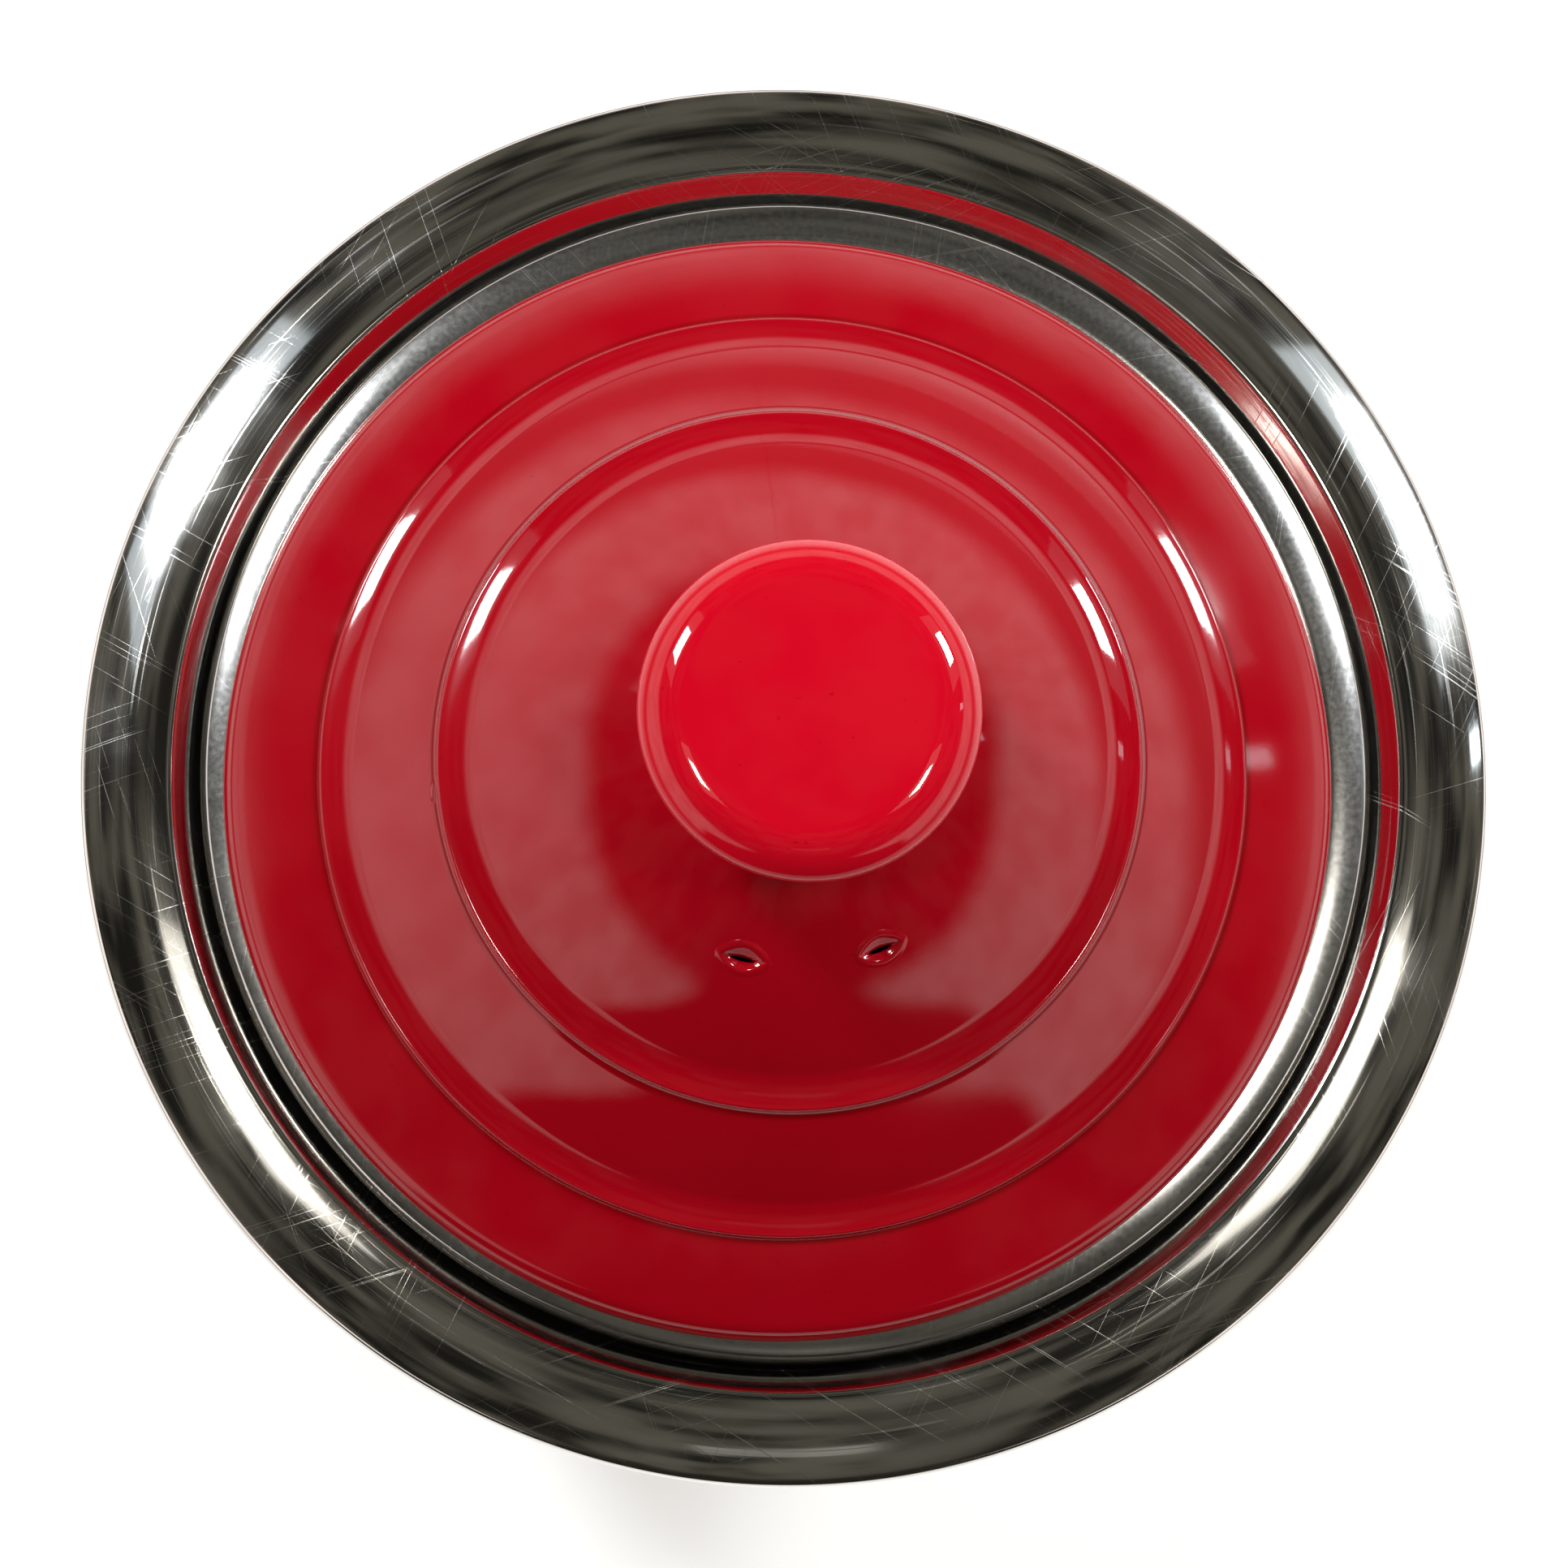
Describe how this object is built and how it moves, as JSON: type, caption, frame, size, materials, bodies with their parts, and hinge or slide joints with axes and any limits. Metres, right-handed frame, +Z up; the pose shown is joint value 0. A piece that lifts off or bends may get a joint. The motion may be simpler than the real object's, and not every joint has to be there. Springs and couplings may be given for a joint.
{
  "type": "flour sifter",
  "caption": "Round lidded flour sifter: steel drum with a wide polished rim, red stepped lid, and a top knob that turns a wire agitator over a dished screen",
  "frame": {"origin": "centre of the catch tray's underside, on the plane that the sifter stands on, under the middle of the rim", "axes": "+Z up along the drum's axis; -Y is the side where the lid's vent slots are; +X to the right when the vents face you"},
  "size_m": [0.21, 0.21, 0.1596],
  "materials": {
    "brushed_steel": "spun stainless steel with fine circular grain",
    "polished_steel": "mirror-polished stainless steel with hairline scratches",
    "woven_wire": "plain-woven stainless wire cloth",
    "plain_steel": "satin stainless steel",
    "brass": "turned brass",
    "seal_rubber": "matt grey silicone rubber",
    "red_enamel": "deep red high-gloss vitreous enamel",
    "red_glaze": "deep red high-gloss glaze"
  },
  "bodies": {
    "tray": {"catch_tray": "brushed_steel", "tray_seal": "seal_rubber"},
    "drum": {"drum_shell": "brushed_steel", "rim_ring": "polished_steel", "rim_collar": "brushed_steel", "screen_hoop": "brushed_steel", "screen_mesh": "woven_wire", "screen_clamp_ring": "brushed_steel", "screen_eyelet": "brushed_steel", "bearing_bridge": "brushed_steel", "bridge_rivets": "brushed_steel", "lower_bush": "brass"},
    "agitator": {"agitator_shaft": "plain_steel", "thrust_washer": "plain_steel", "lower_shaft_clip": "plain_steel", "agitator_hub": "plain_steel", "agitator_arm_1": "plain_steel", "agitator_arm_2": "plain_steel", "agitator_arm_3": "plain_steel", "agitator_arm_4": "plain_steel", "lump_breaker_1": "plain_steel", "lump_breaker_2": "plain_steel", "drive_cup": "plain_steel", "drive_cup_pin": "plain_steel"},
    "lid": {"lid_dome": "red_enamel", "lid_skirt": "plain_steel", "lid_bush": "brass", "lid_bush_washer": "plain_steel", "lid_bush_nut": "plain_steel"},
    "knob": {"knob": "red_glaze", "knob_collar": "polished_steel", "knob_insert": "brass", "knob_shaft": "plain_steel", "knob_washer": "plain_steel", "knob_shaft_clip": "plain_steel"}
  },
  "joints": [
    {"name": "drum_lift", "type": "slide", "parent": "tray", "child": "drum", "axis": [0, 0, 1], "range_m": [0, 0.06]},
    {"name": "agitator_turn", "type": "hinge", "parent": "drum", "child": "agitator", "pos_m": [0, 0, 0.03], "axis": [0, 0, 1], "continuous": true},
    {"name": "lid_lift", "type": "slide", "parent": "drum", "child": "lid", "axis": [0, 0, 1], "range_m": [0, 0.09]},
    {"name": "knob_turn", "type": "hinge", "parent": "lid", "child": "knob", "pos_m": [-0.00149, -0.0021, 0.15], "axis": [0, 0, 1], "continuous": true}
  ],
  "couplings": [
    {"joint": "knob_turn", "follows": "agitator_turn", "ratio": 1}
  ]
}
